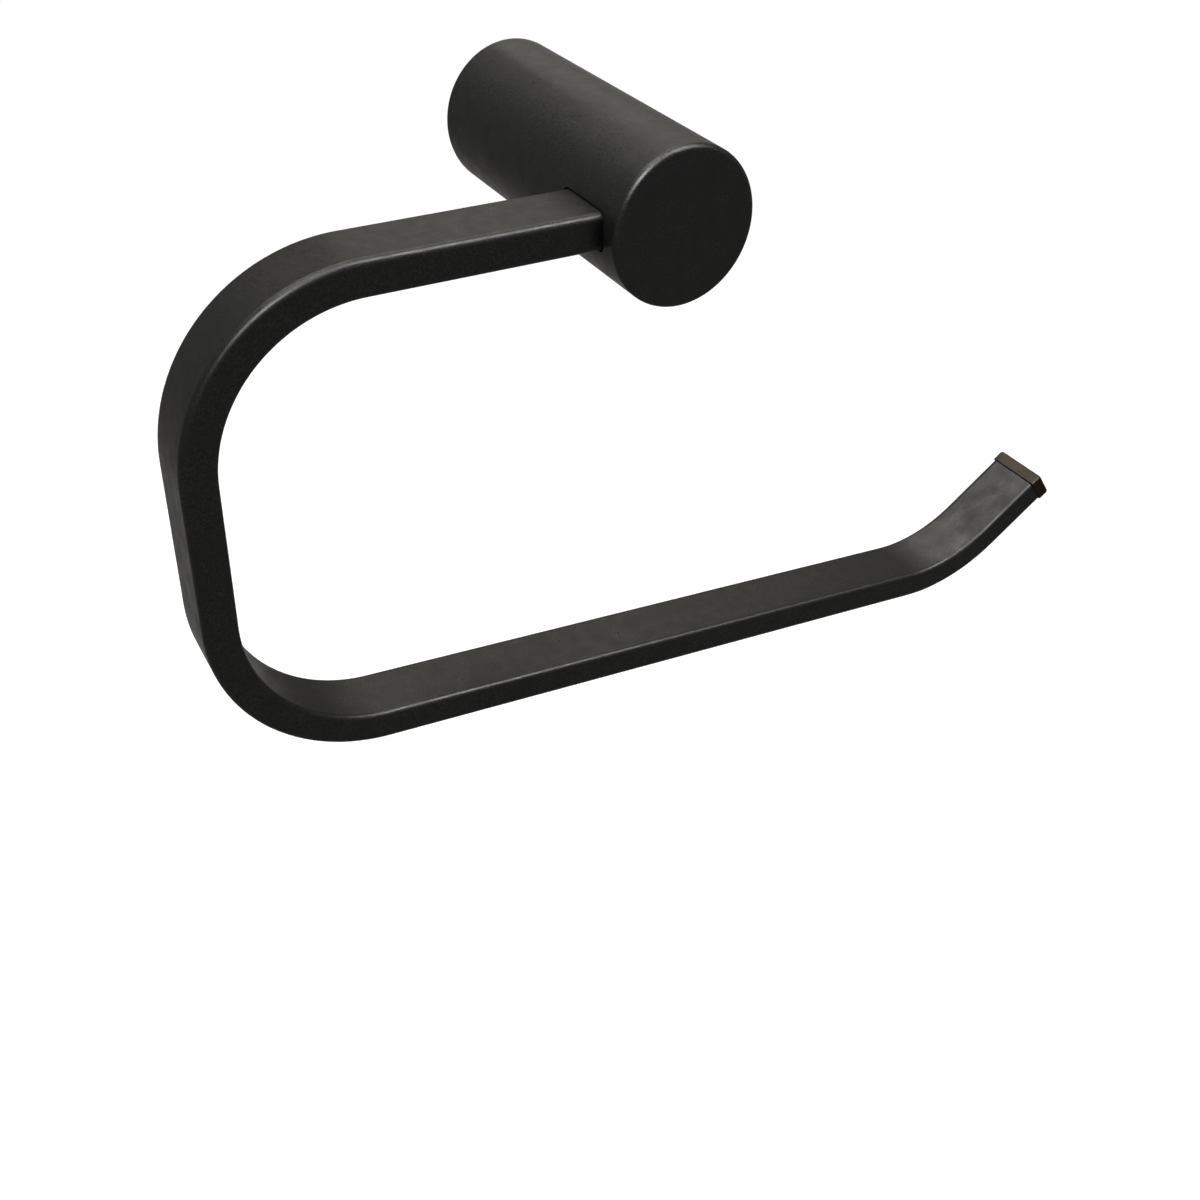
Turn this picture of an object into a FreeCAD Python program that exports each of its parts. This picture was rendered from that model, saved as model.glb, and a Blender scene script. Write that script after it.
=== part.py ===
import FreeCAD, Part

import math
import os
from enum import IntEnum

import Sketcher

# Open towel ring on a round wall post.
# Frame: +Z up, +X to the right along the wall, +Y into the wall. The wall's face is the plane Y = 0 and
# the origin is the centre of the post's wall end, so everything stands out along -Y.
# All lengths are millimetres and all angles are degrees.

# Driving dimensions: alias in the sheet, value, what it measures.
DIMENSIONS = (
    ("post_diameter", 32.0, "outside of the round post"),
    ("post_length", 76.8, "wall to the post's front face"),
    ("post_front_chamfer", 0.8, "turned chamfer round the post's front face"),
    ("post_back_chamfer", 0.4, "edge breaks at the post's wall end"),
    ("post_wall", 2.8, "wall round the post's bore"),
    ("front_wall", 5.0, "metal between the post's front face and the recess for the arm"),
    ("web_thickness", 5.0, "metal between that recess and the bore's floor"),
    ("tube_width", 15.7, "rectangular tube, along the post's axis"),
    ("tube_thickness", 7.5, "rectangular tube, across its flat sides"),
    ("tube_gauge", 1.5, "wall of the rectangular tube"),
    ("tube_corner_radius", 1.0, "outer corners of the tube's section; the inner ones are sharp"),
    ("arm_straight", 63.8, "post axis to the start of the upper bend"),
    ("bend_radius", 36.0, "centreline radius of the upper and lower bends"),
    ("bend_angle", 87.7, "turn of the upper and lower bends, a little short of square"),
    ("upright_straight", 32.8, "straight between the two bends"),
    ("rail_straight", 153.9, "straight of the bottom rail"),
    ("tip_bend_radius", 38.0, "centreline radius of the bend that lifts the tip"),
    ("tip_angle", 42.4, "turn of that bend"),
    ("tip_straight", 17.9, "straight from that bend to the tube's open end"),
    ("recess_clearance", 0.25, "gap round the arm in the post's recess"),
    ("arm_entry", 5.0, "how far the tube goes into the post's side"),
    ("insert_reach", 7.0, "how far the insert goes past the post's axis"),
    ("insert_spigot_length", 22.0, "insert inside the tube"),
    ("insert_gap", 0.1, "brazing gap round the spigot"),
    ("insert_nose_chamfer", 0.8, "lead-in on the spigot's nose"),
    ("thread_clearance", 0.05, "radial gap between a screw's thread and its hole"),
    ("arm_screw_diameter", 4.0, "thread of the screw that holds the arm"),
    ("arm_screw_length", 16.0, "that screw below its head"),
    ("arm_screw_head_diameter", 7.0, "its socket head"),
    ("arm_screw_head_height", 4.0, "its socket head"),
    ("arm_screw_hex", 3.0, "its socket, across flats"),
    ("arm_screw_hex_depth", 2.2, "its socket"),
    ("arm_screw_passage", 4.5, "clearance hole through the web"),
    ("arm_tap_spare", 1.6, "tapped hole past the screw's end"),
    ("washer_diameter", 9.0, "outside of the plain washer"),
    ("washer_bore", 4.3, "hole of the plain washer"),
    ("washer_thickness", 0.8, "plain washer"),
    ("bracket_clearance", 0.15, "gap between the bracket and the post's bore"),
    ("bracket_depth", 10.0, "bracket, away from the wall"),
    ("bracket_chamfer", 0.6, "lead-in on the bracket's front edge"),
    ("undercut_depth", 1.8, "how far the bracket's neck lies inside its rim"),
    ("fixing_offset", 6.0, "wall to the foot of the undercut's slope and to the grub screw"),
    ("wall_hole_spacing", 11.4, "between the bracket's two screw holes"),
    ("wall_hole_diameter", 4.3, "for the screws into the wall"),
    ("wall_countersink", 7.8, "for the heads of those screws"),
    ("countersink_angle", 90.0, "included angle of those countersinks"),
    ("grub_diameter", 5.0, "thread of the grub screw"),
    ("grub_hex", 2.5, "its socket, across flats"),
    ("grub_hex_depth", 2.0, "its socket"),
    ("grub_sunk", 0.3, "grub screw below the post's surface"),
    ("grub_seat_gap", 0.05, "between the cone's point, if it were sharp, and the bracket's neck"),
    ("grub_flat", 1.0, "diameter of the flat on the cone's point"),
    ("cap_thickness", 3.3, "flange of the end cap"),
    ("cap_overhang", 0.2, "flange past the tube, all round"),
    ("cap_edge_radius", 0.5, "corners and outer rim of the flange"),
    ("cap_plug_length", 11.0, "plug inside the tube"),
    ("cap_plug_corner", 0.5, "corners of the plug's section"),
    ("cap_plug_gap", 0.3, "between the plug's flat sides and the tube"),
    ("cap_plug_wall", 0.9, "wall of the hollow plug"),
    ("cap_rib_gap", 0.05, "between the plug's ribs and the tube"),
    ("cap_rib_width", 0.8, "each grip rib"),
    ("cap_rib_pitch", 3.6, "between the grip ribs"),
    ("cap_rib_lead", 2.0, "plain plug in front of the ribs"),
)

# Lengths and directions that follow from the driving dimensions, written once for every piece that needs them.
# A heading is the direction of travel along the tube, in the plane of the ring, turning from +X towards +Z.
# Each expression may use the ones above it.
LAYOUT = (
    ("post_radius", "Sizes.post_diameter / 2"),
    ("bore_radius", "Layout.post_radius - Sizes.post_wall"),
    ("recess_width", "Sizes.tube_width + 2 * Sizes.recess_clearance"),
    ("recess_height", "Sizes.tube_thickness + 2 * Sizes.recess_clearance"),
    ("recess_corner", "Sizes.tube_corner_radius + Sizes.recess_clearance"),
    ("ring_offset", "Sizes.post_length - Sizes.front_wall - Layout.recess_width / 2"),
    ("bore_depth", "Layout.ring_offset - Layout.recess_width / 2 - Sizes.web_thickness"),
    ("tube_start", "Layout.post_radius - Sizes.arm_entry"),
    ("inner_width", "Sizes.tube_width - 2 * Sizes.tube_gauge"),
    ("inner_height", "Sizes.tube_thickness - 2 * Sizes.tube_gauge"),
    ("insert_back", "Layout.ring_offset - Sizes.tube_width / 2"),
    ("screw_seat", "Layout.bore_depth - Sizes.washer_thickness"),
    ("screw_end", "Layout.screw_seat + Sizes.arm_screw_length"),
    ("bracket_radius", "Layout.bore_radius - Sizes.bracket_clearance"),
    ("neck_radius", "Layout.bracket_radius - Sizes.undercut_depth"),
    ("grub_end", "Layout.post_radius - Sizes.grub_sunk"),
    ("grub_point", "Layout.neck_radius + Sizes.grub_seat_gap"),
    ("upright_heading", "180 + Sizes.bend_angle"),
    ("rail_heading", "Layout.upright_heading + Sizes.bend_angle"),
    ("tip_heading", "Layout.rail_heading + Sizes.tip_angle"),
    (
        "tip_x",
        "Sizes.upright_straight * cos(Layout.upright_heading) + Sizes.rail_straight * cos(Layout.rail_heading)"
        " + Sizes.tip_straight * cos(Layout.tip_heading) + Sizes.bend_radius * sin(Layout.rail_heading)"
        " + Sizes.tip_bend_radius * (sin(Layout.tip_heading) - sin(Layout.rail_heading)) - Sizes.arm_straight",
    ),
    (
        "tip_z",
        "Sizes.upright_straight * sin(Layout.upright_heading) + Sizes.rail_straight * sin(Layout.rail_heading)"
        " + Sizes.tip_straight * sin(Layout.tip_heading) - Sizes.bend_radius * (1 + cos(Layout.rail_heading))"
        " - Sizes.tip_bend_radius * (cos(Layout.tip_heading) - cos(Layout.rail_heading))",
    ),
)

# The points of a sketch element and the axes of a sketch, each with the number by which a constraint knows it.
Point = IntEnum("Point", "START END CENTRE")
START, END, CENTRE = Point
Axis = IntEnum("Axis", {"HORIZONTAL": -1, "VERTICAL": -2})
ORIGIN = (Axis.HORIZONTAL, START)

RIGHT_ANGLE = 90.0
FULL_TURN = 360.0
HEXAGON_SIDES = 6
RIBS = 3

# How near a level or a radius must be for an edge to count as the one wanted.
MATCH = 0.01


def make_sheet(doc):
    """Puts the driving dimensions in a spreadsheet, one alias to a row."""
    sheet = doc.addObject("Spreadsheet::Sheet", "Sizes")
    for row, (alias, value, meaning) in enumerate(DIMENSIONS, start=1):
        sheet.set(f"A{row}", alias)
        sheet.set(f"B{row}", str(value))
        sheet.set(f"C{row}", meaning)
        sheet.setAlias(f"B{row}", alias)
    doc.recompute()
    return sheet


def make_layout(doc):
    """Holds what follows from the sheet, each value bound to its expression."""
    layout = doc.addObject("App::VarSet", "Layout")
    for name, expression in LAYOUT:
        layout.addProperty("App::PropertyFloat", name, "Layout")
        layout.setExpression(name, expression)
        doc.recompute()
    return layout


def add_body(doc, label):
    """One piece of the product; its label is the piece's name."""
    body = doc.addObject("PartDesign::Body", label)
    body.Label = label
    return body


def origin_plane(body, role):
    """The body's own XY_Plane, XZ_Plane or YZ_Plane."""
    return next(feature for feature in body.Origin.OriginFeatures if feature.Role == role)


def add_sketch(body, name, role, shift=None):
    """An empty sketch on one of the body's planes, moved along the plane's normal by an expression."""
    sketch = body.newObject("Sketcher::SketchObject", name)
    sketch.AttachmentSupport = [(origin_plane(body, role), "")]
    sketch.MapMode = "FlatFace"
    if shift:
        sketch.setExpression("AttachmentOffset.Base.z", shift)
    body.Document.recompute()
    return sketch


def constrain(sketch, *arguments):
    """Adds one geometric constraint."""
    sketch.addConstraint(Sketcher.Constraint(*arguments))


def dimension(sketch, name, expression, kind, *arguments):
    """Adds one named dimension and binds it to the sheet or the layout."""
    index = sketch.addConstraint(Sketcher.Constraint(kind, *arguments))
    sketch.renameConstraint(index, name)
    sketch.setExpression(f"Constraints.{name}", expression)


def add_outline(sketch, corners):
    """A closed outline of straight edges; level and upright edges are held so."""
    count = len(corners)
    for index in range(count):
        begin = FreeCAD.Vector(*corners[index], 0)
        finish = FreeCAD.Vector(*corners[(index + 1) % count], 0)
        sketch.addGeometry(Part.LineSegment(begin, finish))
    for index in range(count):
        constrain(sketch, "Coincident", index, END, (index + 1) % count, START)
        across, up = (b - a for a, b in zip(corners[index], corners[(index + 1) % count]))
        if up == 0:
            constrain(sketch, "Horizontal", index)
        elif across == 0:
            constrain(sketch, "Vertical", index)


def add_rounded_rectangle(sketch, width, height, radius):
    """A rounded rectangle centred on the sketch's origin; each size is a value and its expression."""
    right, top, bend = width[0] / 2, height[0] / 2, radius[0]
    inner, upper = right - bend, top - bend
    edges = (
        ((-inner, -top), (inner, -top)),
        ((right, -upper), (right, upper)),
        ((inner, top), (-inner, top)),
        ((-right, upper), (-right, -upper)),
    )
    centres = ((inner, -upper), (inner, upper), (-inner, upper), (-inner, -upper))
    sides = [
        sketch.addGeometry(Part.LineSegment(FreeCAD.Vector(*begin, 0), FreeCAD.Vector(*finish, 0)))
        for begin, finish in edges
    ]
    corners = []
    for turn, centre in enumerate(centres):
        circle = Part.Circle(FreeCAD.Vector(*centre, 0), FreeCAD.Vector(0, 0, 1), bend)
        begin = math.radians((turn - 1) * RIGHT_ANGLE)
        corners.append(sketch.addGeometry(Part.ArcOfCircle(circle, begin, begin + math.radians(RIGHT_ANGLE))))
    for index, corner in enumerate(corners):
        constrain(sketch, "Tangent", sides[index], END, corner, START)
        constrain(sketch, "Tangent", corner, END, sides[(index + 1) % len(sides)], START)
    for index in (1, 2, 3):
        constrain(sketch, "Equal", corners[0], corners[index])
    for index in (0, 2):
        constrain(sketch, "Horizontal", sides[index])
        constrain(sketch, "Vertical", sides[index + 1])
    constrain(sketch, "Symmetric", corners[0], CENTRE, corners[2], CENTRE, *ORIGIN)
    dimension(sketch, "width", width[1], "DistanceX", sides[3], START, sides[1], START, width[0])
    dimension(sketch, "height", height[1], "DistanceY", sides[0], START, sides[2], START, height[0])
    dimension(sketch, "corner", radius[1], "Radius", corners[0], bend)


def add_rectangle(sketch, width, height):
    """A sharp rectangle centred on the sketch's origin; each size is a value and its expression."""
    right, top = width[0] / 2, height[0] / 2
    add_outline(sketch, ((-right, -top), (right, -top), (right, top), (-right, top)))
    constrain(sketch, "Symmetric", 0, START, 1, END, *ORIGIN)
    dimension(sketch, "width", width[1], "DistanceX", 0, START, 0, END, width[0])
    dimension(sketch, "height", height[1], "DistanceY", 1, START, 1, END, height[0])


def add_circle(sketch, diameter):
    """A circle about the sketch's origin; the diameter is a value and its expression."""
    circle = sketch.addGeometry(Part.Circle(FreeCAD.Vector(), FreeCAD.Vector(0, 0, 1), diameter[0] / 2))
    constrain(sketch, "Coincident", circle, CENTRE, *ORIGIN)
    dimension(sketch, "diameter", diameter[1], "Diameter", circle, diameter[0])


def revolve(body, sketch, name):
    """Turns the outline once round the sketch's upright axis."""
    turned = body.newObject("PartDesign::Revolution", name)
    turned.Profile = sketch
    turned.ReferenceAxis = (sketch, ["V_Axis"])
    turned.Angle = FULL_TURN
    body.Document.recompute()
    return turned


def pad(body, sketch, name, length, reverse=False):
    """Raises the outline by a length given as an expression."""
    raised = body.newObject("PartDesign::Pad", name)
    raised.Profile = sketch
    raised.Reversed = reverse
    raised.setExpression("Length", length)
    body.Document.recompute()
    return raised


def pocket(body, sketch, name, length=None, reverse=False):
    """Sinks the outline to a depth given as an expression, or right through."""
    sunk = body.newObject("PartDesign::Pocket", name)
    sunk.Profile = sketch
    sunk.Reversed = reverse
    if length:
        sunk.setExpression("Length", length)
    else:
        sunk.Type = "ThroughAll"
    body.Document.recompute()
    return sunk


def edges_where(shape, test):
    """Names of the shape's edges that pass a test, as a fillet or chamfer takes them."""
    return [f"Edge{index}" for index, edge in enumerate(shape.Edges, start=1) if test(edge)]


def is_circle_at(edge, level, radius):
    """True for a round edge of that radius whose centre lies at that level along Y."""
    curve = edge.Curve
    if not isinstance(curve, Part.Circle):
        return False
    return abs(curve.Radius - radius) < MATCH and abs(curve.Center.y - level) < MATCH


def is_across(edge, level):
    """True for an edge that lies in the plane square to X at that level."""
    return abs(edge.BoundBox.XMin - level) < MATCH and edge.BoundBox.XLength < MATCH


def is_along(edge):
    """True for a straight edge that runs along X."""
    return edge.BoundBox.YLength < MATCH and edge.BoundBox.ZLength < MATCH


def round_edges(body, base, edges, radius):
    """Fillets edges of the base feature; the radius is an expression."""
    fillet = body.newObject("PartDesign::Fillet", "RoundedRim")
    fillet.Base = (base, edges)
    fillet.setExpression("Radius", radius)
    body.Document.recompute()
    return fillet


def break_edges(body, base, edges, size):
    """Chamfers edges of the base feature; the size is an expression."""
    chamfer = body.newObject("PartDesign::Chamfer", "BrokenEdge")
    chamfer.Base = (base, edges)
    chamfer.setExpression("Size", size)
    body.Document.recompute()
    return chamfer


def cut_hexagon(body, name, role, across_flats, depth, level, flip=False):
    """A hexagon socket that starts at a level along the plane's normal; all sizes are expressions."""
    socket = body.newObject("PartDesign::SubtractivePrism", name)
    socket.AttachmentSupport = [(origin_plane(body, role), "")]
    socket.MapMode = "FlatFace"
    socket.MapReversed = flip
    socket.Polygon = HEXAGON_SIDES
    socket.setExpression("Circumradius", f"{across_flats} / 2 / cos(30)")
    socket.setExpression("Height", depth)
    socket.setExpression("AttachmentOffset.Base.z", level)
    body.Document.recompute()
    return socket


def make_post(doc, size, layout):
    """The turned post: closed in front, bored from the wall side, with a recess in its side for the arm."""
    body = add_body(doc, "post")
    outer, bore = layout.post_radius, layout.bore_radius
    front, floor = -size("post_length"), -layout.bore_depth

    profile = add_sketch(body, "PostProfile", "XY_Plane")
    add_outline(profile, ((0, front), (outer, front), (outer, 0), (bore, 0), (bore, floor), (0, floor)))
    constrain(profile, "PointOnObject", 0, START, Axis.VERTICAL)
    constrain(profile, "PointOnObject", 2, START, Axis.HORIZONTAL)
    dimension(profile, "length", "Sizes.post_length", "DistanceY", 0, START, *ORIGIN, -front)
    dimension(profile, "radius", "Layout.post_radius", "DistanceX", *ORIGIN, 1, START, outer)
    dimension(profile, "bore", "Layout.bore_radius", "DistanceX", *ORIGIN, 3, START, bore)
    dimension(profile, "depth", "Layout.bore_depth", "DistanceY", 4, END, *ORIGIN, -floor)
    turned = revolve(body, profile, "Turned")

    rim = edges_where(turned.Shape, lambda edge: is_circle_at(edge, front, outer))
    faced = break_edges(body, turned, rim, "Sizes.post_front_chamfer")
    back = edges_where(
        faced.Shape,
        lambda edge: is_circle_at(edge, 0, outer) or is_circle_at(edge, 0, bore),
    )
    break_edges(body, faced, back, "Sizes.post_back_chamfer")

    recess = add_sketch(body, "ArmRecess", "YZ_Plane", "Sizes.insert_reach + Sizes.recess_clearance")
    recess.setExpression("AttachmentOffset.Base.x", "-Layout.ring_offset")
    add_rounded_rectangle(
        recess,
        (layout.recess_width, "Layout.recess_width"),
        (layout.recess_height, "Layout.recess_height"),
        (layout.recess_corner, "Layout.recess_corner"),
    )
    pocket(body, recess, "Recess")

    passage = add_sketch(body, "ScrewPassage", "XZ_Plane", "Layout.bore_depth")
    add_circle(passage, (size("arm_screw_passage"), "Sizes.arm_screw_passage"))
    pocket(body, passage, "Passage", "Sizes.web_thickness + Sizes.recess_clearance", reverse=True)

    tapping = add_sketch(body, "GrubHole", "XY_Plane")
    tapping.setExpression("AttachmentOffset.Base.y", "-Sizes.fixing_offset")
    add_circle(tapping, (size("grub_diameter"), "Sizes.grub_diameter + 2 * Sizes.thread_clearance"))
    pocket(body, tapping, "Tapping")
    return body


def make_ring_tube(doc, size, layout):
    """One length of rectangular tube: arm, upper bend, upright, lower bend, rail and upturned tip."""
    body = add_body(doc, "ring_tube")
    body.setExpression("Placement.Base.y", "-Layout.ring_offset")

    path = add_sketch(body, "Centreline", "XZ_Plane")
    add_bent_path(path, size, layout)
    section = add_sketch(body, "TubeSection", "YZ_Plane", "-Layout.tube_start")
    add_rounded_rectangle(
        section,
        (size("tube_width"), "Sizes.tube_width"),
        (size("tube_thickness"), "Sizes.tube_thickness"),
        (size("tube_corner_radius"), "Sizes.tube_corner_radius"),
    )
    inside = add_sketch(body, "TubeBore", "YZ_Plane", "-Layout.tube_start")
    add_rectangle(
        inside,
        (layout.inner_width, "Layout.inner_width"),
        (layout.inner_height, "Layout.inner_height"),
    )
    spine = [f"Edge{index}" for index in range(1, path.GeometryCount + 1)]
    for kind, name, profile in (("Additive", "BentBar", section), ("Subtractive", "BentBore", inside)):
        swept = body.newObject(f"PartDesign::{kind}Pipe", name)
        swept.Profile = profile
        swept.Spine = (path, spine)
        doc.recompute()
    return body


def add_bent_path(sketch, size, layout):
    """The tube's centreline as straights joined by tangent arcs, which all turn the same way."""
    headings = [180.0, layout.upright_heading, layout.rail_heading, layout.tip_heading]
    straights = [size(name) for name in ("arm_straight", "upright_straight", "rail_straight", "tip_straight")]
    straights[0] -= layout.tube_start
    radii = [size("bend_radius"), size("bend_radius"), size("tip_bend_radius")]

    here = FreeCAD.Vector(-layout.tube_start, 0, 0)
    lines, arcs = [], []
    for step, heading in enumerate(headings):
        along = FreeCAD.Vector(math.cos(math.radians(heading)), math.sin(math.radians(heading)), 0)
        there = here + along * straights[step]
        lines.append(sketch.addGeometry(Part.LineSegment(here, there)))
        here = there
        if step < len(radii):
            leftward = FreeCAD.Vector(-along.y, along.x, 0)
            circle = Part.Circle(here + leftward * radii[step], FreeCAD.Vector(0, 0, 1), radii[step])
            begin = math.radians(heading - RIGHT_ANGLE)
            finish = math.radians(headings[step + 1] - RIGHT_ANGLE)
            arc = Part.ArcOfCircle(circle, begin, finish)
            arcs.append(sketch.addGeometry(arc))
            here = arc.EndPoint
    for step, arc in enumerate(arcs):
        constrain(sketch, "Tangent", lines[step], END, arc, START)
        constrain(sketch, "Tangent", arc, END, lines[step + 1], START)

    constrain(sketch, "Horizontal", lines[0])
    constrain(sketch, "PointOnObject", lines[0], START, Axis.HORIZONTAL)
    dimension(sketch, "start", "Layout.tube_start", "DistanceX", lines[0], START, *ORIGIN, layout.tube_start)
    arm_end = "Sizes.arm_straight"
    dimension(sketch, "arm", arm_end, "DistanceX", lines[0], END, *ORIGIN, size("arm_straight"))
    for step, name in ((1, "upright"), (2, "rail"), (3, "tip")):
        dimension(sketch, name, f"Sizes.{name}_straight", "Distance", lines[step], straights[step])
    bends = (
        ("upper", "Sizes.bend_radius", "Sizes.bend_angle"),
        ("lower", "Sizes.bend_radius", "Sizes.bend_angle"),
        ("lift", "Sizes.tip_bend_radius", "Sizes.tip_angle"),
    )
    for step, (name, radius, angle) in enumerate(bends):
        turn = math.radians(headings[step + 1] - headings[step])
        dimension(sketch, f"{name}_radius", radius, "Radius", arcs[step], radii[step])
        dimension(sketch, f"{name}_turn", f"{angle} * 1 deg", "Angle", arcs[step], turn)


def make_arm_insert(doc, size, layout):
    """The solid end of the arm: a block in the post's recess and a spigot brazed into the tube."""
    body = add_body(doc, "arm_insert")
    body.setExpression("Placement.Base.y", "-Layout.ring_offset")

    block = add_sketch(body, "BlockSection", "YZ_Plane", "-Layout.tube_start")
    add_rounded_rectangle(
        block,
        (size("tube_width"), "Sizes.tube_width"),
        (size("tube_thickness"), "Sizes.tube_thickness"),
        (size("tube_corner_radius"), "Sizes.tube_corner_radius"),
    )
    pad(body, block, "Block", "Layout.tube_start + Sizes.insert_reach")

    gap = size("insert_gap")
    spigot = add_sketch(body, "SpigotSection", "YZ_Plane", "-Layout.tube_start")
    add_rectangle(
        spigot,
        (layout.inner_width - 2 * gap, "Layout.inner_width - 2 * Sizes.insert_gap"),
        (layout.inner_height - 2 * gap, "Layout.inner_height - 2 * Sizes.insert_gap"),
    )
    raised = pad(body, spigot, "Spigot", "Sizes.insert_spigot_length", reverse=True)
    nose_level = -layout.tube_start - size("insert_spigot_length")
    nose = edges_where(raised.Shape, lambda edge: is_across(edge, nose_level))
    break_edges(body, raised, nose, "Sizes.insert_nose_chamfer")

    tapping = add_sketch(body, "ScrewHole", "XZ_Plane", "-Sizes.tube_width / 2")
    add_circle(
        tapping,
        (size("arm_screw_diameter"), "Sizes.arm_screw_diameter + 2 * Sizes.thread_clearance"),
    )
    depth = "Layout.screw_end - Layout.insert_back + Sizes.arm_tap_spare"
    pocket(body, tapping, "Tapping", depth, reverse=True)
    return body


def make_arm_washer(doc, size, layout):
    """The plain washer on the floor of the post's bore."""
    body = add_body(doc, "arm_washer")
    disc = add_sketch(body, "WasherDisc", "XZ_Plane", "Layout.screw_seat")
    add_circle(disc, (size("washer_diameter"), "Sizes.washer_diameter"))
    pad(body, disc, "Disc", "Sizes.washer_thickness")
    hole = add_sketch(body, "WasherHole", "XZ_Plane", "Layout.screw_seat")
    add_circle(hole, (size("washer_bore"), "Sizes.washer_bore"))
    pocket(body, hole, "Bore", "Sizes.washer_thickness", reverse=True)
    return body


def make_arm_screw(doc, size, layout):
    """The socket cap screw that pulls the arm's insert on to the web."""
    body = add_body(doc, "arm_screw")
    shank = size("arm_screw_diameter") / 2
    head = size("arm_screw_head_diameter") / 2
    seat = -layout.screw_seat
    top, end = seat + size("arm_screw_head_height"), seat - size("arm_screw_length")

    profile = add_sketch(body, "ScrewProfile", "XY_Plane")
    add_outline(profile, ((0, end), (shank, end), (shank, seat), (head, seat), (head, top), (0, top)))
    constrain(profile, "PointOnObject", 0, START, Axis.VERTICAL)
    dimension(profile, "seat", "Layout.screw_seat", "DistanceY", 2, START, *ORIGIN, -seat)
    dimension(profile, "length", "Sizes.arm_screw_length", "DistanceY", 1, START, 1, END, seat - end)
    dimension(profile, "height", "Sizes.arm_screw_head_height", "DistanceY", 3, START, 3, END, top - seat)
    dimension(profile, "shank", "Sizes.arm_screw_diameter / 2", "DistanceX", *ORIGIN, 1, START, shank)
    dimension(profile, "head", "Sizes.arm_screw_head_diameter / 2", "DistanceX", *ORIGIN, 3, START, head)
    revolve(body, profile, "Turned")
    depth = "Sizes.arm_screw_hex_depth"
    top_level = "Layout.screw_seat - Sizes.arm_screw_head_height"
    cut_hexagon(body, "Socket", "XZ_Plane", "Sizes.arm_screw_hex", depth, top_level)
    return body


def make_wall_bracket(doc, size, layout):
    """The disc that is screwed to the wall, undercut behind its rim, with two countersunk holes."""
    body = add_body(doc, "wall_bracket")
    outer, neck, front = layout.bracket_radius, layout.neck_radius, -size("bracket_depth")
    foot = -size("fixing_offset")
    brow = foot - size("undercut_depth")

    profile = add_sketch(body, "BracketProfile", "XY_Plane")
    add_outline(profile, ((0, 0), (neck, 0), (neck, foot), (outer, brow), (outer, front), (0, front)))
    constrain(profile, "Coincident", 0, START, *ORIGIN)
    dimension(profile, "neck", "Layout.neck_radius", "DistanceX", 0, START, 0, END, neck)
    dimension(profile, "foot", "Sizes.fixing_offset", "DistanceY", 1, END, 1, START, -foot)
    dimension(profile, "slope", "Sizes.undercut_depth", "DistanceY", 2, END, 2, START, foot - brow)
    dimension(profile, "radius", "Layout.bracket_radius", "DistanceX", *ORIGIN, 3, START, outer)
    dimension(profile, "depth", "Sizes.bracket_depth", "DistanceY", 4, START, *ORIGIN, -front)
    turned = revolve(body, profile, "Turned")
    lead_in = edges_where(turned.Shape, lambda edge: is_circle_at(edge, front, outer))
    break_edges(body, turned, lead_in, "Sizes.bracket_chamfer")

    holes = add_sketch(body, "WallHoles", "XZ_Plane", "Sizes.bracket_depth")
    half = size("wall_hole_spacing") / 2
    radius = size("wall_hole_diameter") / 2
    for side in (-1, 1):
        holes.addGeometry(Part.Circle(FreeCAD.Vector(side * half, 0, 0), FreeCAD.Vector(0, 0, 1), radius))
    constrain(holes, "Equal", 0, 1)
    constrain(holes, "PointOnObject", 0, CENTRE, Axis.HORIZONTAL)
    constrain(holes, "Symmetric", 0, CENTRE, 1, CENTRE, *ORIGIN)
    dimension(holes, "spacing", "Sizes.wall_hole_spacing", "DistanceX", 0, CENTRE, 1, CENTRE, 2 * half)
    dimension(holes, "size", "Sizes.wall_hole_diameter", "Diameter", 0, size("wall_hole_diameter"))
    doc.recompute()
    drilled = body.newObject("PartDesign::Hole", "ScrewHoles")
    drilled.Profile = holes
    drilled.DepthType = "ThroughAll"
    drilled.HoleCutType = "Countersink"
    drilled.HoleCutCustomValues = True
    drilled.setExpression("Diameter", "Sizes.wall_hole_diameter")
    drilled.setExpression("HoleCutDiameter", "Sizes.wall_countersink")
    drilled.setExpression("HoleCutCountersinkAngle", "Sizes.countersink_angle")
    doc.recompute()
    return body


def make_grub_screw(doc, size, layout):
    """The socket set screw under the post, its cone against the slope behind the bracket's rim."""
    body = add_body(doc, "grub_screw")
    body.setExpression("Placement.Base.y", "-Sizes.fixing_offset")
    shank, flat = size("grub_diameter") / 2, size("grub_flat") / 2
    end, point = -layout.grub_end, -layout.grub_point
    corners = ((0, end), (shank, end), (shank, point - shank), (flat, point - flat), (0, point - flat))

    profile = add_sketch(body, "GrubProfile", "XZ_Plane")
    add_outline(profile, corners)
    constrain(profile, "PointOnObject", 0, START, Axis.VERTICAL)
    dimension(profile, "end", "Layout.grub_end", "DistanceY", 0, START, *ORIGIN, -end)
    dimension(profile, "shank", "Sizes.grub_diameter / 2", "DistanceX", *ORIGIN, 1, START, shank)
    dimension(profile, "flat", "Sizes.grub_flat / 2", "DistanceX", *ORIGIN, 2, END, flat)
    shoulder = "Layout.grub_point + Sizes.grub_diameter / 2"
    tip = "Layout.grub_point + Sizes.grub_flat / 2"
    dimension(profile, "shoulder", shoulder, "DistanceY", 1, END, *ORIGIN, shank - point)
    dimension(profile, "tip", tip, "DistanceY", 2, END, *ORIGIN, flat - point)
    revolve(body, profile, "Turned")
    cut_hexagon(body, "Socket", "XY_Plane", "Sizes.grub_hex", "Sizes.grub_hex_depth", "-Layout.grub_end")
    return body


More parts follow.
